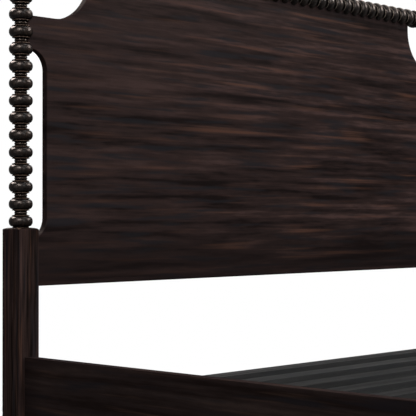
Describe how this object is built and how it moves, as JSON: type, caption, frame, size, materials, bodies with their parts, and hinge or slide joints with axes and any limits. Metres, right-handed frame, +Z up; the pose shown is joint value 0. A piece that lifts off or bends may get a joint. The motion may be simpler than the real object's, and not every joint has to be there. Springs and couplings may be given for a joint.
{
  "type": "panel bed",
  "caption": "King-size panel bed in dark wood with bead-turned posts and top rail, a flat headboard panel with scalloped corners, plain side rails and a low slat deck.",
  "frame": {"origin": "on the floor, under the middle of the bed", "axes": "+Y to the headboard, +X to the right of someone who stands at the foot and looks at the headboard, +Z up"},
  "size_m": [2.038, 2.16, 1.5215],
  "materials": {
    "turned_wood": "satin dark stain, almost black",
    "post_wood": "satin dark stain, almost black",
    "panel_wood": "satin espresso stain with level streaked grain",
    "rail_wood": "satin dark stain, almost black",
    "slat_black": "matte black paint",
    "beam_wood": "matte dark stain",
    "steel": "black zinc",
    "black_plastic": "moulded, matte"
  },
  "bodies": {
    "frame": {"headboard_post_left": "post_wood", "headboard_post_right": "post_wood", "headboard_panel": "panel_wood", "top_rail": "turned_wood", "headboard_lower_rail": "rail_wood", "headboard_finial_left": "turned_wood", "headboard_finial_right": "turned_wood", "glide_head_left": "black_plastic", "glide_head_right": "black_plastic", "foot_post_left": "post_wood", "foot_post_right": "post_wood", "foot_rail": "rail_wood", "foot_finial_left": "turned_wood", "foot_finial_right": "turned_wood", "glide_foot_left": "black_plastic", "glide_foot_right": "black_plastic", "side_rail_left": "rail_wood", "side_rail_right": "rail_wood", "slat_cleat_left": "beam_wood", "slat_cleat_right": "beam_wood", "hook_plate_head_left": "steel", "hook_plate_head_right": "steel", "hook_plate_foot_left": "steel", "hook_plate_foot_right": "steel", "slotted_plate_head_left": "steel", "slotted_plate_head_right": "steel", "slotted_plate_foot_left": "steel", "slotted_plate_foot_right": "steel", "slat_01": "slat_black", "slat_02": "slat_black", "slat_03": "slat_black", "slat_04": "slat_black", "slat_05": "slat_black", "slat_06": "slat_black", "slat_07": "slat_black", "slat_08": "slat_black", "slat_09": "slat_black", "slat_10": "slat_black", "slat_11": "slat_black", "slat_12": "slat_black", "slat_13": "slat_black", "slat_14": "slat_black", "centre_beam": "beam_wood", "beam_hanger_head": "steel", "beam_hanger_foot": "steel", "centre_leg_1": "beam_wood", "centre_leg_2": "beam_wood", "centre_leg_3": "beam_wood", "leg_bolt_1": "steel", "leg_bolt_2": "steel", "leg_bolt_3": "steel"},
    "leveller_1": {"levelling_foot_1": "black_plastic"},
    "leveller_2": {"levelling_foot_2": "black_plastic"},
    "leveller_3": {"levelling_foot_3": "black_plastic"}
  },
  "joints": [
    {"name": "leveller_1_screw", "type": "slide", "parent": "frame", "child": "leveller_1", "axis": [0, 0, 1], "range_m": [0, 0.015]},
    {"name": "leveller_2_screw", "type": "slide", "parent": "frame", "child": "leveller_2", "axis": [0, 0, 1], "range_m": [0, 0.015]},
    {"name": "leveller_3_screw", "type": "slide", "parent": "frame", "child": "leveller_3", "axis": [0, 0, 1], "range_m": [0, 0.015]}
  ]
}
